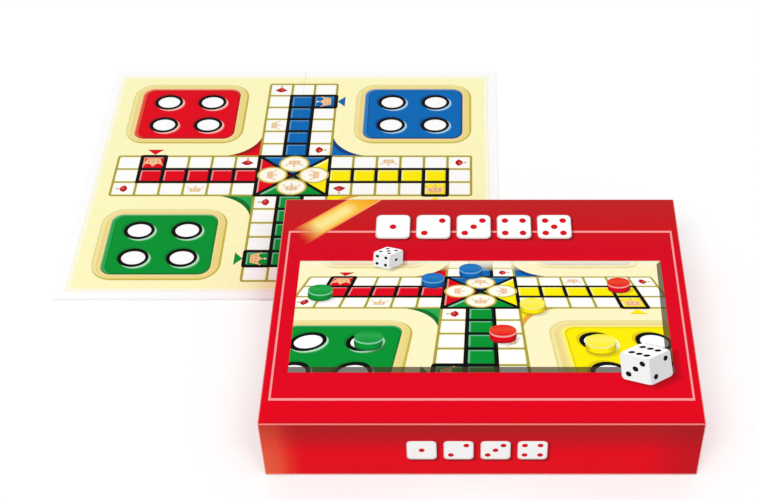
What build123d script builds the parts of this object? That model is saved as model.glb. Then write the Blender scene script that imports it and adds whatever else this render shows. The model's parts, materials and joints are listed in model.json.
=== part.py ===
"""Ludo set: a lift-off lid box with its counters, dice, leaflet and card insert, and the board folded open.

Millimetres, +Z up, +X to the right of the box's front, +Y towards its back. The origin is under the
middle of the whole set, on the surface that it stands on. The back of the box stands on the board's
front strip, so the box leans forwards by the angle that the board's thickness gives it.
"""
from build123d import *
from math import atan2, cos, degrees, sin
import os

# Box: set-up cartons of greyboard, covered with paper that is turned over each rim
lid_length = 250.0
lid_width = 183.0
box_height = 48.0
greyboard = 1.5
cover_paper = 0.25
lid_slip = 0.4          # between the lid's turned-in paper and the tray, each side
rim_lift = 0.8          # lid's rim above the tray's underside
paper_turn_in = 15.0
stay_paper = 0.1        # gummed corner stays, between board and cover paper
stay_leg = 14.0
stay_setback = 2.0

# Card insert: one sheet folded into a trough between two platforms
card = 0.6
card_bend = 1.0
insert_slip = 0.4
board_bay = 10.7        # room over the platforms for the folded board
trough_spare = 2.0      # beside the outer columns of counters

# Rules leaflet, folded, on the left platform
leaflet_margin = 4.0    # to the platform's edges
leaflet_depth = 105.0
leaflet_thickness = 0.5

# Counters: four colours of dished discs, loose in the trough
counter_diameter = 15.0
counter_height = 5.0
counter_rim = 0.9
counter_dish = 0.9
counter_groove = 0.35
counter_band = 1.7
counter_edge = 0.5
counter_gap = 3.0
counters_per_colour = 4
scatter = 0.9           # how far a counter lies from its place in line
colours = ("red", "blue", "green", "yellow")

# Dice
die_size = 13.0
die_round = 2.2
pip_radius = 1.25
pip_depth = 0.45
pip_inset = 3.2         # outer pips' centres from the die's side
crown_side_inset = 3.0
crown_top_inset = 4.0
crown_depth = 0.3
die_turns = (24.0, -17.0)
dice_setback = 24.0     # dice centres from the trough's back end
dice_gap = 13.0

# Board: two greyboard halves, a printed sheet on top and a liner turned over the edges
board_width = 290.0
board_depth = 240.0
board_core = 1.5
board_paper = 0.15
liner_margin = 6.0      # liner turned over on to the top face
crease_gap = 0.05       # each printed sheet from the fold line
spine_gap = 0.4         # each taped core edge from the fold line
tape_reach = 12.0
hinge_rise = 0.05       # fold axis above the printed face

# How the set is laid out
fold_offset = 6.3       # fold line to the left of the lid's side
board_overlap = 42.7    # board's front strip that lies under the box
touch = 0.02            # between loose pieces that rest on each other
stance_touch = 0.05     # between the tray and the board's edge that it leans on

# Worked out
lid_wall = greyboard + 2 * cover_paper
tray_length = lid_length - 2 * (lid_wall + lid_slip)
tray_width = lid_width - 2 * (lid_wall + lid_slip)
tray_height = box_height - cover_paper - greyboard - touch
tray_inner_length = tray_length - 2 * lid_wall
tray_inner_width = tray_width - 2 * lid_wall
insert_length = tray_inner_length - 2 * insert_slip
insert_depth = tray_inner_width - 2 * insert_slip
insert_floor = greyboard + touch
insert_height = tray_height - board_bay - insert_floor
trough_floor = insert_floor + card
platform_top = insert_floor + insert_height
counter_pitch = counter_diameter + counter_gap
trough_width = len(colours) * counter_pitch + 2 * trough_spare
platform_width = (insert_length - trough_width) / 2
leaflet_width = platform_width - 2 * leaflet_margin
board_thickness = board_core + 2 * board_paper
half_width = board_width / 2
foot_y = -tray_width / 2
board_front_y = lid_width / 2 - board_overlap
fold_x = -lid_length / 2 - fold_offset
lean = degrees(atan2(board_thickness + stance_touch, board_front_y - foot_y))


def block(x, y, z):
    """A box between the low and high of each direction."""
    size = [high - low for low, high in (x, y, z)]
    return Pos(x[0], y[0], z[0]) * Box(*size, align=(Align.MIN, Align.MIN, Align.MIN))


def centred(length, width, low, high):
    """A box centred on the Z axis between two heights."""
    return block((-length / 2, length / 2), (-width / 2, width / 2), (low, high))


def carton(length, width, height, panel_covered):
    """Board shell, cover paper and corner stays of an open-topped carton, outside size given."""
    panel_low = cover_paper if panel_covered else 0
    board_length = length - 2 * cover_paper
    board_width_y = width - 2 * cover_paper
    inner_length = board_length - 2 * greyboard
    inner_width = board_width_y - 2 * greyboard
    rim = height - cover_paper

    solid = centred(board_length, board_width_y, panel_low, rim)
    shell = solid - centred(inner_length, inner_width, panel_low + greyboard, height)

    turn_in_low = rim - paper_turn_in
    turn_in = centred(inner_length, inner_width, turn_in_low, rim)
    opening = centred(inner_length - 2 * cover_paper, inner_width - 2 * cover_paper, turn_in_low, height)
    paper = centred(length, width, 0, height) - solid + turn_in - opening

    stay_z = (panel_low + stay_setback, rim - stay_setback)
    ring = centred(board_length + 2 * stay_paper, board_width_y + 2 * stay_paper, *stay_z)
    ring -= centred(board_length, board_width_y, *stay_z)
    ring -= centred(board_length - 2 * stay_leg, width, *stay_z)
    stays = ring - centred(length, board_width_y - 2 * stay_leg, *stay_z)
    return shell, paper - stays, stays


def make_box():
    """Tray standing on z = 0, and the lid over it."""
    tray = carton(tray_length, tray_width, tray_height, panel_covered=False)
    lid = carton(lid_length, lid_width, box_height - rim_lift, panel_covered=True)
    over = Pos(0, 0, box_height) * Rot(X=180)
    names = ("board", "wrap", "corner_stays")
    nodes = {f"tray_{name}": piece for name, piece in zip(names, tray)}
    nodes.update({f"lid_{name}": over * piece for name, piece in zip(names, lid)})
    return nodes


def make_insert():
    """Folded card: leg, platform, trough, platform, leg."""
    far = insert_length / 2
    near = trough_width / 2
    corners = [(-far, 0), (-far, insert_height), (-near, insert_height), (-near, card)]
    corners += [(-x, z) for x, z in reversed(corners)]
    line = FilletPolyline(*corners, radius=card_bend)
    section = make_face(offset(line, amount=card, side=Side.RIGHT))
    sheet = extrude(Plane.XZ * section, amount=insert_depth / 2, both=True)
    return Pos(0, 0, insert_floor) * sheet


def make_leaflet():
    """Folded paper in the middle of the left platform, its back edge the rounded fold."""
    leaf = centred(leaflet_width, leaflet_depth, 0, leaflet_thickness)
    fold = leaf.edges().filter_by(Axis.X).group_by(Axis.Y)[-1]
    leaf = fillet(fold, leaflet_thickness * 0.45)
    middle = -(trough_width + platform_width) / 2
    return Pos(middle, 0, platform_top + touch) * leaf


def dimple(radius, depth):
    """A ball that sinks a round dish of this rim radius and depth into the face at z = 0."""
    ball = (radius**2 + depth**2) / (2 * depth)
    return Pos(0, 0, ball - depth) * Sphere(ball)


def make_counter():
    """A disc with a dished face and a groove round its edge."""
    radius = counter_diameter / 2
    band = counter_band
    waist = radius - counter_groove
    groove_top = counter_height - band
    foot = [(0, 0), (radius - counter_edge, 0), (radius, counter_edge), (radius, band - counter_groove)]
    side = [(waist, band), (waist, groove_top), (radius, groove_top + counter_groove)]
    top = [(radius, counter_height - counter_edge), (radius - counter_edge, counter_height)]
    outline = make_face(Polyline(*foot, *side, *top, (0, counter_height), close=True))
    disc = revolve(Plane.XZ * outline, Axis.Z)
    return disc - Pos(0, 0, counter_height) * dimple(radius - counter_edge - counter_rim, counter_dish)


def make_counters():
    """Four columns of one colour each along the trough, slightly out of line."""
    counter = make_counter()
    nodes = {}
    count = len(colours)
    front = -insert_depth / 2 + counter_pitch * 0.75
    for column, colour in enumerate(colours):
        for row in range(counters_per_colour):
            step = column * counters_per_colour + row
            x = (column - (count - 1) / 2) * counter_pitch + scatter * sin(2.4 * step)
            y = front + row * counter_pitch + scatter * cos(1.7 * step)
            nodes[f"{colour}_counter_{row + 1}"] = Pos(x, y, trough_floor + touch) * counter
    return nodes


def pip_places(count):
    """Pip centres on a die's face, in its own plane."""
    s = die_size / 2 - pip_inset
    diagonal = [(-s, -s), (s, s)]
    other = [(-s, s), (s, -s)]
    sides = [(-s, 0), (s, 0)]
    middle = [(0, 0)]
    return {
        1: middle, 2: diagonal, 3: diagonal + middle, 4: diagonal + other,
        5: diagonal + other + middle, 6: diagonal + other + sides,
    }[count]


def pip_cutters(count):
    """Shallow round dimples in the die face at z = 0 of its plane."""
    return [Pos(x, y, 0) * dimple(pip_radius, pip_depth) for x, y in pip_places(count)]


def crown_cutter():
    """A plain four-pointed crown, sunk into the die face at z = 0 of its plane."""
    half = die_size / 2 - crown_side_inset
    top = die_size / 2 - crown_top_inset
    right = [(half * 0.6, -top), (half, top * 0.7), (half * 0.5, 0), (half * 0.3, top), (0, 0)]
    outline = right + [(-x, y) for x, y in reversed(right[:-1])]
    return [extrude(make_face(Polyline(*outline, close=True)), amount=crown_depth, both=True)]


def make_die(faces):
    """A rounded cube with a mark on each face: top, front, right, back, left, bottom."""
    cube = Box(die_size, die_size, die_size)
    die = fillet(cube.edges(), die_round)
    turns = (Rot(), Rot(X=90), Rot(Y=90), Rot(X=-90), Rot(Y=-90), Rot(X=180))
    for turn, mark in zip(turns, faces):
        cutters = crown_cutter() if mark == "crown" else pip_cutters(mark)
        for cutter in cutters:
            die -= turn * Pos(0, 0, die_size / 2) * cutter
    return die


def make_dice():
    """Two dice at the back of the trough, each turned its own way."""
    marks = {"pip_die": (1, 4, 2, 3, 5, 6), "crown_die": ("crown", "crown", 3, 4, 5, 6)}
    y = insert_depth / 2 - dice_setback
    z = trough_floor + touch + die_size / 2
    nodes = {}
    for side, turn, (name, faces) in zip((-1, 1), die_turns, marks.items()):
        x = side * (die_size + dice_gap) / 2
        nodes[name] = Pos(x, y, z) * Rot(Z=turn) * make_die(faces)
    return nodes


def make_board_half():
    """Right half of the open board, its fold line at x = 0, standing on z = 0."""
    edge = board_depth / 2
    under_print = board_thickness - board_paper
    taped = spine_gap + board_paper
    whole_y = (-edge, edge)
    core = block(
        (taped, half_width - board_paper),
        (board_paper - edge, edge - board_paper),
        (board_paper, under_print),
    )
    sheet = block(
        (crease_gap, half_width - liner_margin),
        (liner_margin - edge, edge - liner_margin),
        (under_print, board_thickness),
    )
    tape = block((spine_gap, tape_reach), whole_y, (0, board_paper))
    tape += block((spine_gap, taped), whole_y, (0, under_print))
    liner = block((crease_gap, half_width), whole_y, (0, board_thickness)) - core - sheet - tape
    liner -= block((crease_gap, taped), whole_y, (0, under_print))
    return {"board_core": core, "board_print": sheet, "board_liner": liner, "hinge_tape": tape}


def make_board():
    """Both halves lying open beside the fold line."""
    place = Pos(fold_x, board_front_y + board_depth / 2, 0)
    nodes = {}
    for name, piece in make_board_half().items():
        nodes[f"{name}_right"] = place * piece
        nodes[f"{name}_left"] = place * mirror(piece, about=Plane.YZ)
    return nodes


def lay_out():
    """Every node in place, and the move that brings the set's foot centre to the origin."""
    stance = Pos(0, foot_y, 0) * Rot(X=lean) * Pos(0, -foot_y, 0)
    contents = make_box() | {"card_insert": make_insert(), "rules_leaflet": make_leaflet()}
    contents |= make_counters() | make_dice()
    nodes = {name: stance * piece for name, piece in contents.items()} | make_board()
    span = Compound(children=[piece.moved(Location()) for piece in nodes.values()]).bounding_box()
    centre = span.center()
    to_origin = Pos(-centre.X, -centre.Y, -span.min.Z)
    return {name: to_origin * piece for name, piece in nodes.items()}, to_origin


nodes, to_origin = lay_out()
if __name__ == "__main__":
    os.makedirs("parts", exist_ok=True)
    for name, piece in nodes.items():
        export_step(piece, f"parts/{name}.step")
    print(f"{len(nodes)} nodes, lean {lean:.4f} degrees, moved by {tuple(to_origin.position)}")
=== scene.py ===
import json
from functools import partial
from math import atan2, cos, hypot, pi, radians, sin

import bmesh
import bpy
from mathutils import Matrix, Vector
from mathutils.geometry import delaunay_2d_cdt


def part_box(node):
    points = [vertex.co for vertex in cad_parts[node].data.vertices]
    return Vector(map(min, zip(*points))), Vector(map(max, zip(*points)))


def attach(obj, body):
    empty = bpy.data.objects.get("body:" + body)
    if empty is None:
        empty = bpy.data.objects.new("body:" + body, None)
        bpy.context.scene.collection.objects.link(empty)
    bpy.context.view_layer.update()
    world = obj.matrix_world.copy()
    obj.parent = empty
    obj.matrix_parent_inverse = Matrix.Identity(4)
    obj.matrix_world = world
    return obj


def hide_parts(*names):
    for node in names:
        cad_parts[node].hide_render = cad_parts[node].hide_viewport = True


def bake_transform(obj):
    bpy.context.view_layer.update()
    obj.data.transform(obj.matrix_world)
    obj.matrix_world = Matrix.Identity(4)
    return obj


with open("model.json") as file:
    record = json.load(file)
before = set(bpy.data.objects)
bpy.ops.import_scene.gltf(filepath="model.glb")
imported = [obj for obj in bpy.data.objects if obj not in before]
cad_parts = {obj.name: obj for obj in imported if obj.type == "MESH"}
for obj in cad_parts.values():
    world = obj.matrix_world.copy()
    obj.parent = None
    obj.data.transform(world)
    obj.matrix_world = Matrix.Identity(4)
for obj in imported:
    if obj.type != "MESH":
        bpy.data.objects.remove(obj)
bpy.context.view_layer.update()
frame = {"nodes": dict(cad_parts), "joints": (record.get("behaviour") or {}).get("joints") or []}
scene = bpy.context.scene
mm = 0.001  # pieces are drawn in millimetres and turned to metres when placed
print("frame loaded")


def boxOf(node):
    return (Vector(corner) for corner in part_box(node))


# Colours and nodes

def linear(code, alpha=1):  # sRGB hex to linear red, green and blue, with an alpha
    parts = [int(code[i:i + 2], 16) / 255 for i in (0, 2, 4)]
    return (*(c / 12.92 if c <= 0.04045 else ((c + 0.055) / 1.055) ** 2.4 for c in parts), alpha)


def connect(node, inputs):  # a node gives its first live output; colours and plain values are typed in
    for key, value in inputs.items():
        if isinstance(value, str):
            value = linear(value)
        if isinstance(value, bpy.types.Node):
            value = next(socket for socket in value.outputs if socket.enabled)
        if isinstance(value, bpy.types.NodeSocket):
            node.id_data.links.new(value, node.inputs[key])
        else:
            node.inputs[key].default_value = value


def adjusted(thing, **settings):
    for key, value in settings.items():
        setattr(thing, key, value)
    return thing


def addNode(tree, kind, inputs=None, **settings):
    node = adjusted(tree.nodes.new("ShaderNode" + kind), **settings)
    if kind == "Mix":
        node.data_type = "RGBA"  # only colours are mixed here
    connect(node, inputs or {})
    return node


def madeMaterial(name, recipe, **settings):  # a recipe adds its nodes and gives the shader's inputs
    material = bpy.data.materials.new(name)
    material.use_nodes = True
    add = partial(addNode, material.node_tree)
    place = add("TexCoord").outputs["Object"]
    connect(material.node_tree.nodes["Principled BSDF"], recipe(add, place, **settings))
    return material


# Materials' recipes, with sizes in millimetres

def lithoPaper(add, place, mottle, rub, fibre, core, roughness):
    # Coated art paper, offset printed and varnished: clean flat inks with a faint mottle, a low
    # gloss broken by the fibres, and bare paper where an edge has rubbed through
    ink = add("Attribute", attribute_name="ink")
    cloud = add("TexNoise", {"Vector": place, "Scale": 1 / (mottle * mm), "Detail": 3})
    depth = add("MapRange", {"Value": cloud, "From Min": 0.3, "From Max": 0.7, "To Min": 0.975,
                             "To Max": 1.015})
    printed = add("VectorMath", {0: ink, "Scale": depth}, operation="SCALE")
    patch = add("TexNoise", {"Vector": place, "Scale": 1 / (rub * mm), "Detail": 5})
    patchy = add("MapRange", {"Value": patch, "From Min": 0.38, "From Max": 0.62})
    bare = add("Math", {0: 1, 1: ink.outputs["Alpha"]}, operation="SUBTRACT")
    worn = add("Math", {0: bare, 1: patchy}, operation="MULTIPLY")
    colour = add("Mix", {0: worn, 6: printed, 7: core})
    grain = add("TexNoise", {"Vector": place, "Scale": 1 / (fibre * mm), "Detail": 2})
    relief = add("Bump", {"Height": grain, "Distance": 0.02 * mm, "Strength": 0.35})
    sheen = add("MapRange", {"Value": cloud, "To Min": roughness - 0.05, "To Max": roughness + 0.05})
    return {"Base Color": colour, "Roughness": sheen, "Specular IOR Level": 0.05, "Normal": relief}


def plainPaper(add, place, code, fibre, roughness=0.8, warm="D9CDB4"):
    # Uncoated wood-free paper or card: matt, off-white, with a cloudy formation and short fibres
    cloud = add("TexNoise", {"Vector": place, "Scale": 1 / (4 * fibre * mm), "Detail": 4})
    tint = add("MapRange", {"Value": cloud, "From Min": 0.35, "From Max": 0.75, "To Max": 0.16})
    colour = add("Mix", {0: tint, 6: code, 7: warm})
    grain = add("TexNoise", {"Vector": place, "Scale": 1 / (fibre * mm), "Detail": 3, "Distortion": 0.8})
    relief = add("Bump", {"Height": grain, "Distance": 0.03 * mm, "Strength": 0.4})
    return {"Base Color": colour, "Roughness": roughness, "Specular IOR Level": 0.3, "Normal": relief}


def greyBoard(add, place, pulp, speck, dark, light, fleck):
    # Recycled greyboard: matt grey-brown pulp with dark specks pressed into it
    cloud = add("TexNoise", {"Vector": place, "Scale": 1 / (pulp * mm), "Detail": 6})
    body = add("Mix", {0: cloud, 6: dark, 7: light})
    spots = add("TexVoronoi", {"Vector": place, "Scale": 1 / (speck * mm)})
    share = add("MapRange", {"Value": spots, "From Min": 0.1, "From Max": 0.22, "To Min": 0.55, "To Max": 0})
    colour = add("Mix", {0: share, 6: body, 7: fleck})
    relief = add("Bump", {"Height": cloud, "Distance": 0.08 * mm, "Strength": 0.5})
    return {"Base Color": colour, "Roughness": 0.92, "IOR": 1.45, "Specular IOR Level": 0.2, "Normal": relief}


def kraftTape(add, place, fibre, dark, light):
    # Gummed kraft paper: brown, drawn lengthwise by its long fibres, with a slight calender sheen
    along = add("Mapping", {"Vector": place, "Scale": (1, 1, 0.12)})
    grain = add("TexNoise", {"Vector": along, "Scale": 1 / (fibre * mm), "Detail": 5})
    colour = add("Mix", {0: grain, 6: dark, 7: light})
    relief = add("Bump", {"Height": grain, "Distance": 0.03 * mm, "Strength": 0.4})
    return {"Base Color": colour, "Roughness": 0.7, "Normal": relief}


def bookCloth(add, place, thread, gap, crown):
    # Starched cotton bookbinding cloth: near-black threads over and under, dull, lighter on the crowns than
    # in the gaps.
    # The real thread is about 0.3 mm apart, drawn at twice that so that it shows
    bands = pi / (10 * thread * mm)  # the wave's scale for one band to each thread
    warp, weft = (add("TexWave", {"Vector": place, "Scale": bands, "Distortion": 0.6}, bands_direction=way)
                  for way in "XY")
    weave = add("Math", {0: warp.outputs["Fac"], 1: weft.outputs["Fac"]}, operation="MAXIMUM")
    colour = add("Mix", {0: weave, 6: gap, 7: crown})
    relief = add("Bump", {"Height": weave, "Distance": 0.08 * mm, "Strength": 0.7})
    return {"Base Color": colour, "Roughness": 0.85, "Sheen Weight": 0.15, "Normal": relief}


def mouldedPlastic(add, place, code, deep):
    # Injection-moulded polystyrene: bright and glossy, a little deeper where the melt flowed thick,
    # with a faint ripple from the mould
    flow = add("TexNoise", {"Vector": place, "Scale": 1 / (6 * mm), "Detail": 2, "Distortion": 1.2})
    amount = add("MapRange", {"Value": flow, "From Min": 0.4, "From Max": 0.75, "To Max": 0.45})
    colour = add("Mix", {0: amount, 6: code, 7: deep})
    ripple = add("TexNoise", {"Vector": place, "Scale": 1 / (1.5 * mm)})
    relief = add("Bump", {"Height": ripple, "Distance": 0.02 * mm, "Strength": 0.25})
    return {"Base Color": colour, "Roughness": 0.22, "IOR": 1.59, "Normal": relief}


def dicePlastic(add, place, node, turn, crowned=False):
    # Urea plastic, tumbled glossy, with enamel run into the sunk marks: black pips, dark blue crowns
    low, high = boxOf(node)
    stance = Matrix.Rotation(lean, 3, "X") @ Matrix.Rotation(radians(turn), 3, "Z")
    own = add("Mapping", {"Vector": place, "Location": (low + high) / 2, "Rotation": stance.to_euler("XYZ")},
              vector_type="TEXTURE")  # the die's own axes, from its middle
    axes = add("SeparateXYZ", {0: own})
    away = [add("Math", {0: axes.outputs[i]}, operation="ABSOLUTE") for i in range(3)]
    lesser = [add("Math", {0: away[a], 1: away[b]}, operation="MINIMUM") for a, b in ((0, 1), (1, 2), (0, 2))]
    largest, second = (
        add("Math", {0: add("Math", {0: first, 1: other}, operation="MAXIMUM"), 1: last}, operation="MAXIMUM")
        for first, other, last in (away, lesser))
    sunk = add("Math", {0: largest, 1: (dice["size"] / 2 - 0.02) * mm}, operation="LESS_THAN")
    onFace = add("Math", {0: second, 1: dice["marks within"] * mm}, operation="LESS_THAN")
    mark = add("Math", {0: sunk, 1: onFace}, operation="MULTIPLY")
    enamel = dice["pip"]
    if crowned:  # the crowns are on the top and the front
        reach = dice["size"] / 2 * 0.9 * mm
        above = add("Math", {0: axes.outputs[2], 1: reach}, operation="GREATER_THAN")
        before = add("Math", {0: axes.outputs[1], 1: -reach}, operation="LESS_THAN")
        either = add("Math", {0: above, 1: before}, operation="MAXIMUM")
        enamel = add("Mix", {0: either, 6: enamel, 7: dice["crown"]})
    haze = add("TexNoise", {"Vector": place, "Scale": 1 / (5 * mm), "Detail": 3})
    body = add("Mix", {0: haze, 6: dice["body"], 7: dice["body shade"]})
    colour = add("Mix", {0: mark, 6: body, 7: enamel})
    gloss = add("MapRange", {"Value": mark, "To Min": 0.2, "To Max": 0.38})
    return {"Base Color": colour, "Roughness": gloss, "IOR": 1.55}


# Printed art: each stamp is an outline in millimetres and its ink or colour, laid down in order

def flatInk(code, cover=1):
    colour = linear(code, cover)
    return lambda x, y: colour


def rampInk(stops, origin=(0, 0), direction=(0, 1)):  # stops hold a distance, a colour and its cover
    table = [(distance, linear(code, *cover)) for distance, code, *cover in stops]

    def ink(x, y):
        distance = (x - origin[0]) * direction[0] + (y - origin[1]) * direction[1]
        if distance <= table[0][0]:
            return table[0][1]
        for (near, first), (far, last) in zip(table, table[1:]):
            if distance <= far:
                share = (distance - near) / (far - near)
                return tuple(a + (b - a) * share for a, b in zip(first, last))
        return table[-1][1]

    return ink


def crossedInk(first, second):  # the first ink, its cover cut down by the second's
    return lambda x, y: (*first(x, y)[:3], first(x, y)[3] * second(x, y)[3])


def drawn(outline):
    shape = bmesh.new()
    shape.faces.new([shape.verts.new((x, y, 0)) for x, y in outline])
    return shape


def outlineOf(shape):
    outline = [tuple(corner.co.xy) for face in shape.faces for corner in face.verts]
    shape.free()
    return outline


def eased(outline, radius, segments=5):  # rounds every corner
    shape = drawn(outline)
    bmesh.ops.bevel(shape, geom=shape.verts[:], offset=radius, segments=segments, profile=0.5,
                    affect="VERTICES", material=-1)
    return outlineOf(shape)


def block(left, low, right, high, radius=0, segments=5):
    corners = [(left, low), (right, low), (right, high), (left, high)]
    return eased(corners, radius, segments) if radius else corners


def oval(x, y, width, height, segments=32):
    shape = bmesh.new()
    bmesh.ops.create_circle(shape, cap_ends=True, segments=segments, radius=0.5)
    bmesh.ops.scale(shape, vec=(width, height, 1), verts=shape.verts)
    bmesh.ops.translate(shape, vec=(x, y, 0), verts=shape.verts)
    return outlineOf(shape)


def anticlockwise(outline):
    area = sum(a[0] * b[1] - b[0] * a[1] for a, b in zip(outline, outline[1:] + outline[:1]))
    return outline if area > 0 else outline[::-1]


def placed(stamps, move):
    return [([move(x, y) for x, y in outline], ink) for outline, ink in stamps]


def turned(x, y, quarters):  # moves a drawing to a place and turns it by quarter turns
    c, s = round(cos(quarters * pi / 2)), round(sin(quarters * pi / 2))
    return lambda u, v: (x + u * c - v * s, y + u * s + v * c)


def divided(shape, point, normal, **settings):  # cuts a shape by a plane
    bmesh.ops.bisect_plane(shape, geom=shape.verts[:] + shape.edges[:] + shape.faces[:], plane_co=point,
                           plane_no=normal, **settings)


def trimmed(stamps, window):  # cuts stamps off at a rectangle
    kept = []
    for outline, ink in stamps:
        shape = drawn(outline)
        for corner, side in ((window[:2], -1), (window[2:], 1)):
            for normal in ((side, 0, 0), (0, side, 0)):
                divided(shape, (*corner, 0), normal, clear_outer=True)
        kept += [([tuple(corner.co.xy) for corner in face.verts], ink) for face in shape.faces]
        shape.free()
    return kept


def pressed(papers, stamps, guides=()):
    # One flat mesh of the papers, divided along every outline and guide, with the inks mixed at its corners
    points, edges, faces, layers = [], [], [], []
    for outline, ink in papers + stamps:
        faces.append(list(range(len(points), len(points) + len(outline))))
        points += [Vector((round(x, 3), round(y, 3))) for x, y in anticlockwise(outline)]
        layers.append(flatInk(ink) if isinstance(ink, str) else ink)
    for start, end in guides:
        edges.append((len(points), len(points) + 1))
        points += [Vector(start), Vector(end)]
    corners, _, triangles, _, _, sources = delaunay_2d_cdt(points, edges, faces, 1, 1e-4)
    sheet = bmesh.new()
    inkLayer = sheet.loops.layers.float_color.new("ink")
    verts = [sheet.verts.new((x, y, 0)) for x, y in corners]
    for triangle, below in zip(triangles, sources):
        if min(below) >= len(papers):
            continue  # off the paper
        face = sheet.faces.new([verts[i] for i in triangle])
        for loop in face.loops:
            colour = Vector((1, 1, 1))
            for layer in sorted(below):
                ink = layers[layer](*loop.vert.co.xy)
                colour = colour.lerp(Vector(ink[:3]), ink[3])
            loop[inkLayer] = (*colour, 1)
    bmesh.ops.delete(sheet, geom=[vert for vert in sheet.verts if not vert.link_faces], context="VERTS")
    return sheet


# Sheets made solid, and pieces put in their place

def extruded(shape, edges, move=(0, 0, 0)):  # gives the new corners and edges, once moved
    made = bmesh.ops.extrude_edge_only(shape, edges=edges)["geom"]
    verts = [part for part in made if isinstance(part, bmesh.types.BMVert)]
    bmesh.ops.translate(shape, vec=move, verts=verts)
    return verts, [part for part in made if isinstance(part, bmesh.types.BMEdge)]


def inked(shape, faces, code, alpha=1):
    inkLayer = shape.loops.layers.float_color["ink"]
    for face in faces:
        for loop in face.loops:
            loop[inkLayer] = linear(code, alpha)


def thickened(sheet, thickness, edgeCode):  # gives a pressed sheet its walls and underside
    printed = set(sheet.faces)
    _, edges = extruded(sheet, [edge for edge in sheet.edges if edge.is_boundary], (0, 0, -thickness))
    bmesh.ops.edgeloop_fill(sheet, edges=edges)
    bmesh.ops.recalc_face_normals(sheet, faces=sheet.faces)
    inked(sheet, set(sheet.faces) - printed, edgeCode)


def drawnOut(section, move, thickness):  # a bent sheet with this section, its first side underneath
    sheet = bmesh.new()
    verts = [sheet.verts.new(point) for point in section]
    extruded(sheet, [sheet.edges.new(pair) for pair in zip(verts, verts[1:])], move)
    bmesh.ops.recalc_face_normals(sheet, faces=sheet.faces)
    if min(sheet.faces, key=lambda face: face.calc_center_median().z).normal.z > 0:
        bmesh.ops.reverse_faces(sheet, faces=sheet.faces)
    bmesh.ops.solidify(sheet, geom=sheet.faces, thickness=thickness)
    return sheet


def inScene(name, data):
    thing = bpy.data.objects.new(name, data)
    scene.collection.objects.link(thing)
    return thing


def madePiece(name, shape, matrix, material, slot, *nodes, body=None):
    shape.transform(matrix)
    mesh = bpy.data.meshes.new(name)
    shape.to_mesh(mesh)
    shape.free()
    mesh.materials.append(material)
    piece = inScene(name, mesh)
    if body:
        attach(piece, body)
    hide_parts(*nodes)
    return piece


# Small drawings shared by the board and the lid

tones = ("main", "light", "dark", "deep", "glow", "glint")
inks = {name: dict(zip(tones, codes.split())) for name, codes in {
    "red": "E3001B F4A19B C80E1C A50D16 EF4A2B FBC9BE",
    "blue": "0469B7 6BA0CB 0C5A9B 0A3F86 2B7CC4 B9DCF4",
    "green": "009332 7CC79B 048834 06702A 2AA84E C2EBCB",
    "yellow": "FFEE02 FFFBA8 E9D303 C9AE10 FFF36A FFFCD0",
}.items()}
inks["yellow"]["amber"] = "F2A63A"
crowns = {  # size upright, size lying sideways, colours of the body and the tips, cover
    "start": ((13.2, 9), (11, 9.2), "F7CB94", "E9A36B", 1),
    "plain": ((10.6, 7), (9, 7.6), "F5D9AC", "D7A56C", 0.9),
    "oval": ((11.2, 7.4), (9.6, 7.8), "F6D6AE", "E2A574", 0.9),
}


def crown(kind, quarters, x, y):  # three low points, a ball on each, jewels and a band
    *sizes, body, tips, cover = crowns[kind]
    w, h = (side / 2 for side in sizes[quarters % 2])
    outline = [(-0.66, -1), (-1, 0.4), (-0.46, 0.2), (0, 0.76), (0.46, 0.2), (1, 0.4), (0.66, -1)]
    parts = [(outline, body, 1), (block(-0.66, -0.8, 0.66, -0.56), tips, 0.7)]
    parts += [(oval(u, v, 0.26, 0.42, 8), "CE6A52", 0.7) for u, v in ((-0.5, -0.2), (0, -0.14), (0.5, -0.2))]
    parts += [(oval(u, v, 0.24, 0.36, 10), tips, 1) for u, v in ((-1, 0.5), (0, 0.8), (1, 0.5))]
    stamps = [([(w * u, h * v) for u, v in shape], flatInk(code, cover * share))
              for shape, code, share in parts]
    if kind == "start" and quarters % 2:
        stamps.append((oval(0, 5.4, 1.5, 1.9, 12), "FFFFFF"))  # a white knob over the middle point
    return placed(stamps, turned(x, y, quarters))


def pips(count, s):  # their middles, s from the middle of the face
    pairs = [(-s, -s), (s, s), (-s, s), (s, -s), (-s, 0), (s, 0)]
    return pairs[:count - count % 2] + [(0, 0)] * (count % 2)


def dieFace(count, pipCode, faceCode="FFFFFF", edgeCode="D9D6D2"):  # one unit wide, on its middle
    stamps = [(block(-0.5, -0.5, 0.5, 0.5, 0.15), edgeCode),
              (block(-0.475, -0.445, 0.475, 0.485, 0.16), faceCode)]
    return stamps + [(oval(x, y, 0.2, 0.2, 20), pipCode) for x, y in pips(count, 0.26)]


def dropShadow(outline, dx, dy, spread, cover, code="3A0508", steps=5):  # soft edge from widening copies
    middle = Vector((0, 0))
    for point in outline:
        middle += Vector(point) / len(outline)
    reach = max((Vector(point) - middle).length for point in outline)
    stamps = []
    for step in range(steps):
        grow = 1 + spread * (1 - 2 * step / (steps - 1)) / reach
        shape = [(middle.x + dx + (x - middle.x) * grow, middle.y + dy + (y - middle.y) * grow)
                 for x, y in outline]
        stamps.append((shape, flatInk(code, cover / steps)))
    return stamps


def diceRow(x, y, counts, size, gap):  # the row of dice faces that stands where a title would
    stamps = []
    for place, count in enumerate(counts):
        middle = x + (place - (len(counts) - 1) / 2) * (size + gap)
        face = placed(dieFace(count, "D9101F"), lambda u, v: (middle + u * size, y + v * size))
        stamps += dropShadow(face[0][0], 1.2, -1.4, 1, 0.9) + face
    return stamps


# The ludo board's pattern, in millimetres from the middle of the board

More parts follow.
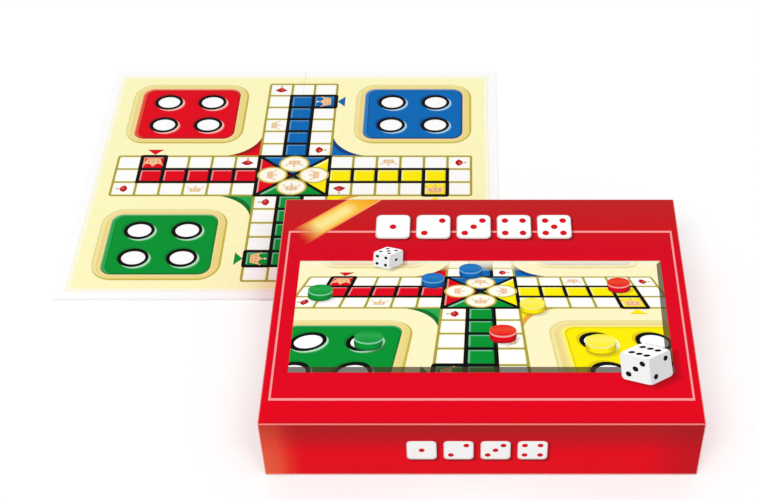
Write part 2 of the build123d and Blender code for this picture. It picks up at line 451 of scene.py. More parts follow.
board = {
    "cell": (16.8, 13.9),  # a step of the track, across and up
    "line": 1.7,  # olive lines between plain steps
    "heavy line": 2.5,  # black lines round coloured steps
    "fillet": (31, 27),  # coloured corners between the arms
    "olive": "ADA03F", "black": "060606",
    "yard": (83.3, 69.3),  # middles of the four yards
    "frame": (86, 68.5), "block": (73, 58),  # a yard's gold frame and its coloured middle
    "yard parts": (  # set in from the left, low, right and high sides; radius, segments, colour, cover
        ("frame", 0.4, 0, 0, 0.4, 15, 8, "CBB64C", 1),
        ("frame", 0, 1.5, 1.5, 0, 14.8, 8, "E6D990", 1),
        ("frame", 1, 1.5, 1.5, 1, 14.2, 8, "F4E7A2", 1),
        ("frame", 3, 1.5, 1.5, 2.6, 13, 8, "EBDA85", 1),
        ("block", -1.6, -1.6, -1.2, -1.6, 9, 8, "F7DA98", 1),
        ("block", 0, 0, 0, 0, 8, 7, "deep", 1),
        ("block", 0, 1.1, 0.6, 0, 8, 7, "light", 0.7),
        ("block", 0.8, 1.1, 0.6, 0.9, 7.5, 7, "glow", 1),
        ("block", 2.8, 1.1, 0.6, 1.8, 7, 7, "dark", 1),
        ("block", 3.8, 2, 1.5, 3, 6.5, 7, "main", 1)),
    "ring place": (16.2, 13.2),  # a ring's middle from the yard's
    "ring": (21, 17.6), "hole": (16, 12.4),
    "ring parts": (  # moved across and up, wider by, colour, cover
        ("ring", -1.3, 1, 0.6, "deep", 0.55), ("ring", 1.9, -1.8, 0, "light", 0.35),
        ("ring", 1.3, -1.2, 0, "glint", 0.85), ("ring", 0, 0, 0, "060606", 1),
        ("hole", 0.2, -0.15, 0, "FFFFFF", 1)),
    "starts": ((1, 6, "red", 2), (8, 1, "blue", 1), (13, 8, "yellow", 0), (6, 13, "green", 3)),
    "token colours": ("8C7446", "F0C795", "8E1A16", "BC141C", "DC5A52"),
    "tokens": ((6, 0, 0), (5, 6, 0), (9, 8, 2), (8, 14, 2), (0, 8, 1), (8, 5, 3), (6, 9, 1), (14, 6, 3)),
    "plain crowns": ((6, 3, 3), (3, 8, 0), (11, 6, 2), (8, 11, 1)),  # column, row, quarter turns, as above
    "ovals": (((0, 12.6), 2), ((-14.6, 0.6), 3), ((0, -12), 0), ((14.8, 0.6), 1)),
    "oval rings": ((21.6, 17.4, "C2AC4A"), (19.2, 15.2, "FFF3BE"), (17, 13.2, "FFFDF2")),
    "margins": ((0.4, 0.5, "F6F3C2"), (0.9, 0.5, "FFFEEC"), (2, 1, "FFFCDC"), (3.2, 1.5, "FFF9C2")),
    "finish": {"mottle": 2.5, "rub": 1.5, "fibre": 0.35, "core": "F4F1E6", "roughness": 0.42},
}


def cellBlock(column, row, inset=0, radius=0):  # steps counted from the top left of a 15 by 15 grid
    w, h = board["cell"]
    left, top = (column - 7.5) * w, (7.5 - row) * h
    return block(left + inset, top - h + inset, left + w - inset, top - inset, radius, 3)


def cellMiddle(column, row):
    return (column - 7) * board["cell"][0], (7 - row) * board["cell"][1]


def plainCell(column, row):
    line = board["line"] / 2
    return [(cellBlock(column, row, line, 0.8), "FFFCE2"), (cellBlock(column, row, line + 1, 0.8), "FFFFFF")]


def colouredCell(column, row, tone):  # raised look: light at the top left, dark at the bottom right
    outline = cellBlock(column, row, board["heavy line"] / 2)
    (left, low), (right, high) = outline[::2]
    return [(outline, tone["dark"]),
            (block(left, low + 0.7, right - 0.8, high), flatInk(tone["light"], 0.8)),
            (block(left + 1.1, low + 0.7, right - 0.8, high - 1.1), tone["main"])]


def startCell(column, row, tone, quarters):
    surround = cellBlock(column, row, -board["heavy line"] / 2 - 0.2, 2)
    return ([(surround, board["black"])] + colouredCell(column, row, tone)
            + crown("start", quarters, *cellMiddle(column, row)))


def cornerFillet(sx, sy, *colours):  # quarter hollows one in another, the widest first
    x, y = cellMiddle(8.5, 5.5)
    stamps = []
    for share, code in zip((1, 0.95, 0.7), colours):
        w, h = (side * share for side in board["fillet"])
        arc = [(x + w - w * sin(a * pi / 24), y + h - h * cos(a * pi / 24)) for a in range(13)]
        stamps.append(([(sx * u, sy * v) for u, v in [(x, y)] + arc], code))
    return stamps


def yard(sx, sy, tone):
    x, y = sx * board["yard"][0], sy * board["yard"][1]
    stamps = []
    for name, left, low, right, high, radius, segments, colour, cover in board["yard parts"]:
        w, h = (side / 2 for side in board[name])
        outline = block(x - w + left, y - h + low, x + w - right, y + h - high, radius, segments)
        stamps.append((outline, flatInk(tone.get(colour, colour), cover)))
    for side, end in ((-1, -1), (-1, 1), (1, -1), (1, 1)):
        cx, cy = x + side * board["ring place"][0], y + end * board["ring place"][1]
        for name, dx, dy, wider, colour, cover in board["ring parts"]:
            w, h = (side + wider for side in board[name])
            stamps.append((oval(cx + dx, cy + dy, w, h), flatInk(tone.get(colour, colour), cover)))
    return stamps


def redToken(quarters, x, y):  # a small winged mark with a neck and a knob above
    reach = 3.6 if quarters % 2 else 4.6
    wings = [(-reach, -0.7), (-2, 1.6), (0, 2.4), (2, 1.6), (reach, -0.7), (2, -2), (0, -2.9), (-2, -2)]
    shapes = (oval(0, 4.5, 1.3, 1.5, 10), oval(0, 3.1, 2, 2.2, 12), wings, oval(0, -0.2, 6, 5.2, 18),
              oval(0.6, 0.4, 2.6, 2, 12))
    return placed(zip(shapes, board["token colours"]), turned(x, y, quarters))


def centreSquare():  # four raised triangles, light at their upper left, with black lines over their seams
    x, y = cellMiddle(8.5, 5.5)
    line, black = board["heavy line"] / 2, board["black"]
    lit = line + 1
    corners = [(-x, -y), (-x, y), (x, y), (x, -y)]
    triangles = []
    for name, first, last in zip(("red", "blue", "yellow", "green"), corners, corners[1:] + corners[:1]):
        outline = [first, (0, 0), last]
        triangles.append((outline, inks[name]["light"]))
        triangles.append(([(u + lit, v - lit) for u, v in outline], inks[name]["main"]))
    stamps = trimmed(triangles, (-x, -y, x, y))
    stamps.append((oval(0, 0, 9, 6.4, 12), flatInk(black, 0.7)))  # the seams meet in a dark patch
    across, up = line * y / hypot(x, y), line * x / hypot(x, y)  # from a diagonal to its line's sides
    for end in (-1, 1):
        far, rise = end * y, end * up
        stamps += [([(-x - across, rise - far), (x - across, far + rise), (x + across, far - rise),
                     (across - x, -far - rise)], black),
                   (block(end * x - line, -y - line, end * x + line, y + line), black),
                   (block(-x - line, far - line, x + line, far + line), black)]
    for place, quarters in board["ovals"]:
        stamps += [(oval(*place, width, height), code) for width, height, code in board["oval rings"]]
        stamps += crown("oval", quarters, *place)
    return stamps


def arrowHead(x, y, quarters, tone):  # points down before it is turned
    return placed([([(-6, 2.6), (6, 2.6), (0, -3)], tone["dark"]),
                   ([(-4.6, 1.6), (4.6, 1.6), (0, -2.4)], tone["main"])], turned(x, y, quarters))


def ludoPattern():
    w, h = board["cell"]
    half, line = board["line"] / 2, board["heavy line"] / 2
    olive, black = board["olive"], board["black"]
    red, blue, green, yellow = inks.values()
    stamps = []
    for sx, sy, tone, middle, inner in ((-1, 1, red, "deep", "main"), (1, 1, blue, "deep", "main"),
                                        (-1, -1, green, "deep", "glow"), (1, -1, yellow, "amber", "main")):
        stamps += cornerFillet(sx, sy, tone["deep"], tone[middle], tone[inner]) + yard(sx, sy, tone)
    for columns, rows in ((7.5, 1.5), (1.5, 7.5)):
        right, high = columns * w + half, rows * h + half
        stamps.append((block(-right, -high, right, high, 2), olive))
    for lane in (6, 7, 8):
        for step in (0, 1, 2, 3, 4, 5, 9, 10, 11, 12, 13, 14):
            stamps += plainCell(step, lane) + plainCell(lane, step)
    for first, last in ((1, 5), (9, 13)):
        left, right = (first - 7.5) * w - line, (last - 6.5) * w + line
        low, high = (6.5 - last) * h - line, (7.5 - first) * h + line
        stamps += [(block(left, -h / 2 - line, right, h / 2 + line), black),
                   (block(-w / 2 - line, low, w / 2 + line, high), black)]
    for step in range(1, 6):
        stamps += colouredCell(step, 7, red) + colouredCell(7, step, blue)
        stamps += colouredCell(14 - step, 7, yellow) + colouredCell(7, 14 - step, green)
    for column, row, name, quarters in board["starts"]:
        stamps += startCell(column, row, inks[name], quarters)
    for column, row, quarters in board["tokens"]:
        stamps += redToken(quarters, *cellMiddle(column, row))
    for column, row, quarters in board["plain crowns"]:
        stamps += crown("plain", quarters, *cellMiddle(column, row))
    stamps += centreSquare()
    stamps += arrowHead(-6 * w, 1.5 * h + 4.6, 0, red) + arrowHead(6 * w, -1.5 * h - 4.6, 2, yellow)
    stamps += arrowHead(1.5 * w + 4.2, 6 * h, 3, blue) + arrowHead(-1.5 * w - 4.2, -6 * h, 1, green)
    return stamps


# Where things stand: the fold line of the board, and the box's lean

joints = {joint["name"]: joint for joint in frame["joints"]}
_, axisY, axisZ = joints["lid_lift"]["axis"]
lean = atan2(-axisY, axisZ)
foldLine = Vector(joints["board_fold"]["pos_m"])


def leaningBox(node):  # the leaning frame at the middle of its lower front edge, and its size in millimetres
    low, high = (corner / mm for corner in boxOf(node))
    depth, height = high.y - low.y, high.z - low.z
    c, s = cos(lean), sin(lean)
    size = Vector((high.x - low.x, (depth * c - height * s) / cos(2 * lean),
                   (height * c - depth * s) / cos(2 * lean)))
    foot = Vector(((low.x + high.x) / 2, low.y + size.z * s, low.z))
    return Matrix.Scale(mm, 4) @ Matrix.Translation(foot) @ Matrix.Rotation(lean, 4, "X"), size


# The board's printed faces: one pattern pressed across both halves, then parted at the fold

def makeBoardPrint():
    low, high = boxOf("board_print_right")
    thickness = (high.z - low.z) / mm
    inner, outer = (low.x - foldLine.x) / mm, (high.x - foldLine.x) / mm
    edge = (high.y - low.y) / mm / 2
    papers = [(block(left, -edge, right, edge), "FFFFFB")
              for left, right in ((-outer, -inner), (inner, outer))]
    stamps = [(block(inset - outer, inset - edge, outer - inset, edge - inset, radius), code)
              for inset, radius, code in board["margins"]] + ludoPattern()
    material = madeMaterial("coated litho paper, board", lithoPaper, **board["finish"])
    place = Matrix.Translation((foldLine.x, foldLine.y, high.z)) @ Matrix.Scale(mm, 4)
    for side, name in ((-1, "left"), (1, "right")):
        sheet = pressed(papers, stamps)
        away = [face for face in sheet.faces if face.calc_center_median().x * side < 0]
        bmesh.ops.delete(sheet, geom=away, context="FACES")
        thickened(sheet, thickness, "F7F4EA")
        madePiece(f"printed_face_{name}", sheet, place, material, "board_litho_paper", f"board_print_{name}",
                  body=f"board_{name}")
    print("board faces pressed")


# The lid's cover paper

lid = {
    "edge round": 0.6,
    "rim round": 0.35,
    "board under": 2,  # board and its two papers at the rim
    "turn-in": 15,
    "bleed": 5,  # how far the red runs up inside the rim
    "paper": 0.25,
    "finish": {"mottle": 3, "rub": 1.2, "fibre": 0.4, "core": "F6CFC9", "roughness": 0.4},
    "painted rim highlight": 1.1,  # the foot of each side is inked pale up to here: a painted highlight line along the fold at the rim
    "keyline": (-119.9, 17.8, 120.1, 153),
    "keyline inks": ((2.3, 2.7, "B90A1A", 0.5), (1.25, 1.7, "FF9C9A", 1)),  # upright and level width
    "window": (-111.2, 37.6, 111.2, 127.3),
    "title": (-4, 157.5, (1, 2, 3, 4, 5), 21.5, 4),  # a row of dice: its middle, counts, size and gap
    "long side": (-2.5, 23.5, (1, 2, 3, 4), 17, 4), "short side": (0, 23.5, (2, 3, 5), 17, 4),
    "cuts": [-116, -110, -103, -60, -20, 20, 60, 95, 110],
    "top stops": [(0, "CC0A16"), (2.6, "DF031B"), (7, "E5001B"), (17, "E5001B"), (38, "E1001E"),
                  (100, "DF001E"), (127, "DB001E"), (140, "D5051F"), (153, "CF111B"), (168, "C51A20"),
                  (183, "BC2222")],
    "side stops": [(0, "C80D19"), (2.8, "EA021A"), (18, "EB0018"), (23, "E80018"), (28, "DA051B"),
                   (32, "CF0C1C"), (37, "C2151D"), (47.2, "AD1A1B")],
    "glow stops": [(-125, "EC6442"), (-116, "EE5A3E", 0.9), (-110, "EC4632", 0.45), (-103, "E1021B", 0)],
    "glow height": [(0, "EC6442"), (18, "EC6442", 0.9), (28, "EC6442", 0.65), (47, "EC6442", 0.35)],
    "shade stops": [(95, "A8101C", 0), (110, "A8101C", 0.35), (125, "A8101C", 0.6)],
}
band = {
    "start": (-113.6, 148), "slope": 41,
    "low end": ((-117.2, 155.6), (-110, 140.5)), "high end": (-85.4, -63.2),
    "gold": [(0, "E2461F", 0), (9, "EDA652", 0.8), (16, "FACB5A"), (38, "FCC53E"), (60, "F79E12")],
    "gleam": [(9, "F6DC90", 0), (16, "FBEFA0", 0.8), (38, "FFF3A0", 0.85), (46, "FFC94A", 0)],
    "border": [(0, "E2461F", 0), (12, "F2703F", 0.9), (28, "FF9C58"), (60, "FFB56C")],
    "guides": (3, 6, 9, 12, 16, 28, 38, 46),
}
lidScene = {  # the printed picture: counters on their top faces' middles, dice on their near corners
    "counters": ((-97, 103, 15, "green"), (-29, 113, 14, "blue"), (31, 92, 15, "yellow"),
                 (84, 109, 14, "red"), (13, 70, 16, "red"), (-66, 65, 17, "green"),
                 (70, 62, 18, "yellow"), (-6, 121, 14, "blue")),
    "dice": ((97, 28, 21, (3, 2, 6), 0.02), (-56, 120, 13, (4, 1, 5), 0.03)),
    "across": 0.87, "up": 0.611, "middle": 101.4, "shrink": 0.0026,  # the board's pattern, smaller far away
}


def keyline():
    left, low, right, high = lid["keyline"]
    stamps = []
    for width, height, code, cover in lid["keyline inks"]:
        w, h = width / 2, height / 2
        bars = [block(x - w, low - h, x + w, high + h) for x in (left, right)]
        bars += [block(left - w, y - h, right + w, y + h) for y in (low, high)]
        stamps += [(bar, flatInk(code, cover)) for bar in bars]
    return stamps


def ribbon(back):  # a bare gold band over the left back corner
    start, slope = band["start"], radians(band["slope"])
    direction = (cos(slope), sin(slope))
    highEnd = [(x, back) for x in band["high end"]]

    def strip(near, far):  # the part of the band between two shares of its width
        corners = [Vector(a).lerp(Vector(b), share) for a, b in (band["low end"], highEnd)
                   for share in (near, far)]
        return [tuple(corners[i]) for i in (0, 1, 3, 2)]

    stamps = [(strip(0, 1), rampInk(band["gold"], start, direction))]
    for inset, cover in ((0.16, 0.35), (0.26, 0.5), (0.36, 0.6)):
        faint = [(distance, code, share * cover) for distance, code, share in band["gleam"]]
        stamps.append((strip(inset, 1 - inset), rampInk(faint, start, direction)))
    border = rampInk(band["border"], start, direction)
    stamps += [(strip(0, 0.08), border), (strip(0.92, 1), border)]
    across = Vector((-direction[1], direction[0])) * 9
    guides = []
    for distance in band["guides"]:
        middle = Vector(start) + Vector(direction) * distance
        reach = min(1, (back - 0.5 - middle.y) / across.y)  # the guide ends on the paper
        guides.append((middle - across, middle + across * reach))
    return stamps, guides


def pictureCounter(x, y, width, tone):  # a thick disc seen from the front and above, x and y on its top face
    height, thick = width * 0.56, width * 0.38
    half = width / 2
    main, glow, deep = tone["main"], tone["glow"], tone["deep"]
    sides = rampInk([(-half, deep), (-width * 0.3, main), (width * 0.2, main), (half, deep)], (x, 0), (1, 0))
    dome = rampInk([(-height / 2, main), (height * 0.1, glow), (height / 2, main)], (0, y))
    stamps = dropShadow(oval(x, y - thick, width, height), width * 0.07, -width * 0.04, width * 0.1, 0.55,
                        "3A3A32")
    stamps += [(oval(x, y - thick, width * 0.97, height * 0.95), deep),
               (block(x - half, y - thick * 0.85, x + half, y), sides),
               (oval(x, y - thick * 0.8, width * 0.98, height * 0.94), sides),
               (oval(x, y - thick * 0.22, width, height), tone["light"]),
               (oval(x, y, width, height), glow)]
    return stamps + [(oval(x, y, width * share, height * share), dome) for share in (0.98, 0.7, 0.35)]


def pictureDie(x, y, size, counts, slant):  # three faces of a white die; x and y are its near lower corner
    def spot(right, left, up):  # so many steps along the three edges that meet there
        return (x + size * (0.62 * right - 0.78 * left),
                y + size * ((0.34 + slant) * right + (0.26 - slant) * left + 0.92 * up))

    silhouette = [spot(*steps) for steps in (
        (0, 0, 0), (1, 0, 0), (1, 0, 1), (1, 1, 1), (0, 1, 1), (0, 1, 0))]
    stamps = dropShadow(silhouette, size * 0.16, -size * 0.08, size * 0.12, 0.7)
    stamps.append((eased(silhouette, size * 0.1), "E9E9E8"))
    for code, move, count in zip(("F1F1F0", "D4D4D6", "FFFFFF"), (
            lambda u, v: spot(0, 0.5 - u, v + 0.5), lambda u, v: spot(u + 0.5, 0, v + 0.5),
            lambda u, v: spot(u + 0.5, v + 0.5, 1)), counts):
        stamps += placed(dieFace(count, "101010", code, code), move)
    return stamps


def lidPicture():  # the board seen from its front edge, with a few counters and two dice
    left, low, right, high = window = lid["window"]
    pale = "FFF6C6"

    def toPicture(x, y):
        away = 1 + lidScene["shrink"] * y
        return lidScene["across"] * x / away, lidScene["middle"] + lidScene["up"] * y / away

    stamps = [(block(*window), pale)] + trimmed(placed(ludoPattern(), toPicture), window)
    shade = flatInk("3F3022", 0.84)
    inner = (right - 4.2, low + 4.2)
    recess = trimmed([([(right, low), (right, high), (right - 2.6, high - 3), inner], shade),
                      ([(left, low), (right, low), inner, (left, low + 4.2)], shade),
                      (block(left, high - 0.8, right, high), flatInk("A89A6A", 0.35))], window)
    haze = rampInk([(-9, pale, 0), (-5, "FFF4C4", 0.55), (0, "FFFBE6", 0.95)], (0, high))
    stamps += [(block(left, high - step, right, high - step + 3), haze) for step in (3, 6, 9)] + recess
    for x, y, width, name in lidScene["counters"]:
        light = "F7E98A" if name == "yellow" else inks[name]["light"]
        stamps += pictureCounter(x, y, width, dict(inks[name], light=light))
    for die in lidScene["dice"]:
        stamps += pictureDie(*die)
    return stamps


def laidFlat(shell, size):  # maps the cover as its sheet laid flat, the turn-ins squeezed at its ends
    half = Vector((size.x / 2, size.y / 2))
    rimRound, squeeze = lid["rim round"], 0.3
    furthest = size.z + rimRound + (lid["board under"] + lid["turn-in"]) * squeeze
    flat = shell.loops.layers.uv.new("OFBake")  # a UV map of the cover laid flat
    for face in shell.faces:
        middle = face.calc_center_median() - Vector((0, half.y, 0))
        reaches = [half[i] - abs(middle[i]) for i in (0, 1)]
        axis = reaches.index(min(reaches))
        inside = reaches[axis] > rimRound and middle.z < size.z / 2
        for loop in face.loops:
            spot = loop.vert.co.xy - Vector((0, half.y))
            reach, level = half[axis] - abs(spot[axis]), loop.vert.co.z
            if inside:
                drop = size.z + rimRound + (reach - rimRound + level) * squeeze
            else:
                drop = size.z - level + (reach if level < size.z / 2 else 0)
            if face.normal.z < 0.9:
                spot[axis] = (half[axis] + drop) * (1 if middle[axis] > 0 else -1)
            loop[flat].uv = [0.5 + spot[i] / (half[i] + furthest) / 2 for i in (0, 1)]


def lidRidges(size, cuts):  # only the rounded ridges and uprights, cut where the panels between them are
    length, width, height = size
    ridge, rimRound = lid["edge round"], lid["rim round"]
    shell = bmesh.new()
    shell.loops.layers.float_color.new("ink")
    bmesh.ops.create_cube(shell, size=1)
    bmesh.ops.scale(shell, vec=(length, width, height - rimRound), verts=shell.verts)
    bmesh.ops.translate(shell, vec=(0, width / 2, (height + rimRound) / 2), verts=shell.verts)
    bmesh.ops.delete(shell, geom=[face for face in shell.faces if face.normal.z < -0.5], context="FACES")
    bmesh.ops.bevel(shell, geom=[edge for edge in shell.edges if not edge.is_boundary], offset=ridge,
                    segments=3, profile=0.5, affect="EDGES", material=-1)
    flats = [face for face in shell.faces if max(abs(c) for c in face.normal) > 0.999]
    bmesh.ops.delete(shell, geom=flats, context="FACES")
    for axis, places in enumerate(cuts):
        for place in places:
            middle = Vector((0, width / 2, height / 2))
            middle[axis] = place
            divided(shell, middle, [float(i == axis) for i in range(3)])
    # The ridges and uprights are inked pale pink, a painted highlight along every edge: one tint on the lit
    # front top ridge, one on the other top ridges, one on the uprights; the 0.9 cover lets a little bare
    # paper show in rubbed spots
    for face in shell.faces:
        middle = face.calc_center_median()
        lit = middle.y < ridge and middle.z > height - ridge / 2
        code = "F47A76" if lit else "E8837C" if middle.z > height - ridge else "EBA093"
        inked(shell, [face], code, 0.9)
    return shell


def lidPanels(size, cutsX, cutsY, cutsZ):  # the printed top and sides, each with the matrix that places it
    length, width, height = size
    ridge, rimRound = lid["edge round"], lid["rim round"]
    farX, back, top = length / 2 - ridge, width - ridge, height - ridge
    art, guides = ribbon(back - 0.15)
    art = keyline() + art + diceRow(*lid["title"]) + lidPicture()
    guides += [((x, ridge), (x, back)) for x in cutsX] + [((-farX, y), (farX, y)) for y in cutsY]
    paper = (block(-farX, ridge, farX, back), rampInk(lid["top stops"]))
    panels = [(Matrix.Translation((0, 0, height)), pressed([paper], art, guides))]

    glow = crossedInk(rampInk(lid["glow stops"], direction=(1, 0)), rampInk(lid["glow height"]))
    shade = rampInk(lid["shade stops"], direction=(1, 0))
    sides = {"front": ((1, 0), (0, 0)), "back": ((-1, 0), (0, width)),  # which way each runs, and its middle
             "right": ((0, 1), (length / 2, width / 2)), "left": ((0, -1), (-length / 2, width / 2))}
    for name, (across, origin) in sides.items():
        long = name in ("front", "back")
        end = (length if long else width) / 2 - ridge
        art = []
        if name == "front":
            art = [(block(-end, rimRound, cutsX[2], top), glow),
                   (block(cutsX[-2], rimRound, end, top), shade)]
        # A pale pink band along the foot of every side: a painted highlight line at the rim's fold
        art.append((block(-end, rimRound, end, lid["painted rim highlight"]), flatInk("FBC2BC", 0.9)))
        art += diceRow(*lid["long side" if long else "short side"])
        cuts = cutsX if long else [y - width / 2 for y in cutsY]
        if name in ("back", "left"):
            cuts = [-cut for cut in cuts]
        guides = [((cut, rimRound), (cut, top)) for cut in cuts] + [((-end, z), (end, z)) for z in cutsZ]
        facing = Matrix(((across[0], 0, across[1], origin[0]), (across[1], 0, -across[0], origin[1]),
                         (0, 1, 0, 0), (0, 0, 0, 1)))
        paper = (block(-end, rimRound, end, top), rampInk(lid["side stops"]))
        panels.append((facing, pressed([paper], art, guides)))
    return panels


def turnedIn(shell, size):  # carries the paper round the rim and up inside
    centre = Matrix.Translation((0, -size.y / 2, 0))
    rimRound, under, bleed = lid["rim round"], lid["board under"], lid["bleed"]
    arc = [(rimRound * (1 - cos(a)), rimRound * (1 - sin(a))) for a in (pi / 6, pi / 3, pi / 2)]
    rings = arc + [(under - rimRound, 0)] + [(under - x, z) for x, z in arc[-2::-1]]
    rings += [(under, z) for z in (rimRound, bleed, bleed + 0.4, lid["turn-in"])]
    edges = [edge for edge in shell.edges if edge.is_boundary]
    inset = 0
    for reach, level in rings:
        verts, edges = extruded(shell, edges)
        edges = [edge for edge in edges if edge.is_boundary]
        shrink = [(side / 2 - reach) / (side / 2 - inset) for side in size[:2]]
        bmesh.ops.scale(shell, vec=(*shrink, 1), space=centre, verts=verts)
        bmesh.ops.translate(shell, vec=(0, 0, level - verts[0].co.z), verts=verts)
        inset = reach
        inside = reach == under and level > bleed
        # The outer round of the rim is inked pale pink, a painted highlight against its own shade; up to the
        # rim's height the ink's cover is 0.25, so bare paper shows through in rubbed patches
        code = "F4F1E8" if inside else "F6BDB7" if reach < under / 2 else "DD2A31"
        inked(shell, {face for edge in edges for face in edge.link_faces}, code,
              1 if level > rimRound else 0.25)
    bmesh.ops.recalc_face_normals(shell, faces=shell.faces)


def makeLidWrap():
    place, size = leaningBox("lid_wrap")
    cuts = (lid["cuts"], [y for y, _ in lid["top stops"][1:-1]],
            [lid["painted rim highlight"]] + [z for z, _ in lid["side stops"][1:-1]])
    shell = lidRidges(size, cuts)
    spare = bpy.data.meshes.new("panel")
    for facing, panel in lidPanels(size, *cuts):
        panel.transform(facing)
        panel.to_mesh(spare)
        panel.free()
        shell.from_mesh(spare)
    bpy.data.meshes.remove(spare)
    bmesh.ops.remove_doubles(shell, verts=shell.verts, dist=0.004)
    turnedIn(shell, size)
    laidFlat(shell, size)
    material = madeMaterial("coated litho paper, lid", lithoPaper, **lid["finish"])
    wrap = madePiece("lid_cover_paper", shell, place, material, "lid_litho_paper", "lid_wrap", body="lid")
    adjusted(wrap.modifiers.new("paper", "SOLIDIFY"), thickness=lid["paper"] * mm, offset=-1)
    print("lid cover made,", len(wrap.data.polygons), "faces")


# Hinge cloth: one strip under both halves that dips up into the spine gap

hinge = {"reach": 12, "gap": 0.4, "cloth": 0.15, "crown": 1.5, "fold": 1.4,
         "finish": {"thread": 0.6, "gap": "0E0E10", "crown": "2B2B2F"}}


def makeHinge():
    low, high = boxOf("hinge_tape_right")
    reach, gap = hinge["reach"], hinge["gap"]
    arc = [(-gap * cos(a * pi / 6), hinge["crown"] - gap + gap * sin(a * pi / 6)) for a in range(7)]
    section = [(-reach, 0), (-gap - 0.1, 0), (-gap, 0.1)] + arc + [(gap, 0.1), (gap + 0.1, 0), (reach, 0)]
    strip = drawnOut([(x, 0, z) for x, z in section], (0, (high.y - low.y) / mm, 0), hinge["cloth"])
    material = madeMaterial("bookbinding cloth", bookCloth, **hinge["finish"])
    place = Matrix.Translation((foldLine.x, low.y, low.z)) @ Matrix.Scale(mm, 4)
    cloth = madePiece("hinge_cloth", strip, place, material, "hinge_cloth", "hinge_tape_left",
                      "hinge_tape_right")
    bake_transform(cloth)
    print("hinge cloth made")


# Rules leaflet: one sheet folded in half, its upper leaf springing a little

leaflet = {"paper": 0.11, "spring": 0.14, "fold": 0.14,
           "finish": {"code": "F6F4EE", "fibre": 0.5, "roughness": 0.75, "warm": "E6E0CF"}}


def makeLeaflet():
    place, size = leaningBox("rules_leaflet")
    paper, fold = leaflet["paper"], leaflet["fold"]
    far = size.y - 0.25
    turn = [(far + fold * sin(a * pi / 6), fold - fold * cos(a * pi / 6)) for a in range(1, 7)]
    upper = [(size.y * (1 - t / 10) - 0.25, 2 * fold + (leaflet["spring"] - paper * 0.4) * sin(t / 10 * pi))
             for t in range(1, 10)]
    section = [(0, 0), (size.y / 2, 0), (far, 0)] + turn + upper + [(0.4, 0.26)]
    sheet = drawnOut([(-size.x / 2, y, z) for y, z in section], (size.x, 0, 0), paper)
    material = madeMaterial("wood-free leaflet paper", plainPaper, **leaflet["finish"])
    madePiece("folded_leaflet", sheet, place, material, "leaflet_paper", "rules_leaflet", body="leaflet")
    print("leaflet made")


# Pieces kept from the frame: finishes, and edges eased on the tray paper, card insert and board liner

dice = {"size": 13, "marks within": 4.7, "body": "F8F7F2", "body shade": "F0EEE6", "pip": "0B0B0C",
        "crown": "1C2B86"}
finishes = (  # how the nodes' names start, their material, its recipe and settings, and their edges' width
    (("tray_board", "lid_board", "board_core"), "recycled greyboard", greyBoard,
     {"pulp": 1.6, "speck": 2.2, "dark": "8F887B", "light": "B0A998", "fleck": "5E564A"}),
    ("tray_wrap", "uncoated tray paper", plainPaper, {"code": "F4F2EC", "fibre": 0.6}, 0.12),
    (("tray_corner", "lid_corner"), "gummed kraft stay", kraftTape,
     {"fibre": 0.5, "dark": "97734A", "light": "BD9766"}),
    ("card_insert", "white folding boxboard", plainPaper,
     {"code": "F0EEE8", "fibre": 0.5, "roughness": 0.65}, 0.15),
    ("board_liner", "wrapped liner paper", plainPaper,
     {"code": "FFFFFF", "fibre": 0.5, "roughness": 0.6, "warm": "F6F4EC"}, 0.3),
    *((f"{colour}_counter", f"moulded polystyrene, {colour}", mouldedPlastic, {"code": code, "deep": deep})
      for colour, code, deep in (("red", "DD1622", "A30D18"), ("blue", "1F78C0", "12559A"),
                                 ("green", "12893A", "0B6429"), ("yellow", "F8DC0A", "DDB504"))),
    ("pip_die", "urea plastic, pip die", dicePlastic, {"node": "pip_die", "turn": 24}),
    ("crown_die", "urea plastic, crown die", dicePlastic,
     {"node": "crown_die", "turn": -17, "crowned": True}),
)


def finishNodes():
    for starts, name, recipe, settings, *widths in finishes:
        material = madeMaterial(name, recipe, **settings)
        for piece in (frame["nodes"][node] for node in frame["nodes"] if node.startswith(starts)):
            piece.data.materials.clear()
            piece.data.materials.append(material)
            for width in widths:
                adjusted(piece.modifiers.new("weld", "WELD"), merge_threshold=0.002 * mm)
                adjusted(piece.modifiers.new("ease", "BEVEL"), width=width * mm, segments=2,
                         limit_method="ANGLE", angle_limit=radians(40))
    print("frame nodes finished")


# Stage, light and camera

stage = {
    "floor": "D4D4D4", "floor size": 14, "floor drop": 0.0002, "floor glow": 0.375,
    "sky": 0.62,
    "lamps": [((-1.5, -2.9, 4), 1.5, 72), ((1.7, -2.6, 4), 1.5, 56)],  # place, size, watts
    "target": (0.03, 0, 0),
}
camera = {"place": (0.06735, -0.69943, 0.68252), "tilt": 45.582, "lens": 69.05, "shift": -0.1167}


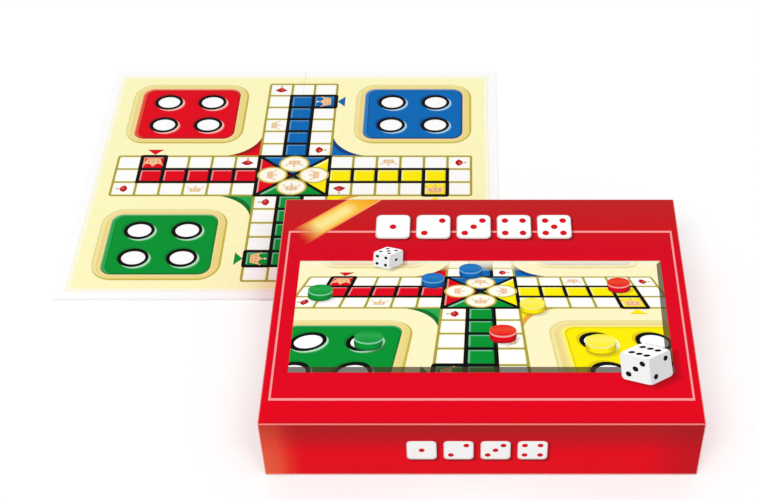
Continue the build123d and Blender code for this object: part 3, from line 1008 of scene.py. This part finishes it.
def backdropRay(add):  # 1 for the rays that show the white background, straight, mirrored or through glass
    kinds = add("LightPath").outputs
    either = add("Math", {0: kinds["Is Camera Ray"], 1: kinds["Is Glossy Ray"]}, operation="MAXIMUM")
    return add("Math", {0: either, 1: kinds["Is Transmission Ray"]}, operation="MAXIMUM")


def whiteFloor(add, _):
    # Matt white, with a little glow of its own in the rays that show it as the background
    glow = add("Math", {0: backdropRay(add), 1: stage["floor glow"]}, operation="MULTIPLY")
    return {"Base Color": stage["floor"], "Roughness": 0.9, "Specular IOR Level": 0,
            "Emission Color": (1, 1, 1, 1), "Emission Strength": glow}


def makeStage():
    floorMesh = bpy.data.meshes.new("floor")
    shape = bmesh.new()
    bmesh.ops.create_grid(shape, x_segments=1, y_segments=1, size=stage["floor size"] / 2)
    bmesh.ops.translate(shape, vec=(0, 0, -stage["floor drop"]), verts=shape.verts)
    shape.to_mesh(floorMesh)
    shape.free()
    floorMesh.materials.append(madeMaterial("matt white sweep", whiteFloor))
    inScene("floor", floorMesh)

    world = bpy.data.worlds.new("studio")
    scene.world = world
    world.use_nodes = True
    add = partial(addNode, world.node_tree)
    strength = add("MapRange", {"Value": backdropRay(add), "To Min": stage["sky"], "To Max": 1})
    connect(world.node_tree.nodes["Background"], {"Color": (1, 1, 1, 1), "Strength": strength})

    for number, (place, size, watts) in enumerate(stage["lamps"]):
        name = f"softbox_{number + 1}"
        lamp = adjusted(bpy.data.lights.new(name, "AREA"), size=size, energy=watts)
        aim = Vector(stage["target"]) - Vector(place)
        adjusted(inScene(name, lamp), location=place, rotation_euler=aim.to_track_quat("-Z", "Y").to_euler())
    print("stage lit")


def makeCamera():
    view = adjusted(bpy.data.cameras.new("camera"), sensor_width=36, lens=camera["lens"],
                    shift_x=camera["shift"])
    scene.camera = adjusted(inScene("camera", view), location=camera["place"],
                            rotation_euler=(radians(camera["tilt"]), 0, 0))
    scene.view_settings.view_transform = "Standard"
    print("camera set")


makeBoardPrint()
makeLidWrap()
makeHinge()
makeLeaflet()
finishNodes()
makeStage()
makeCamera()
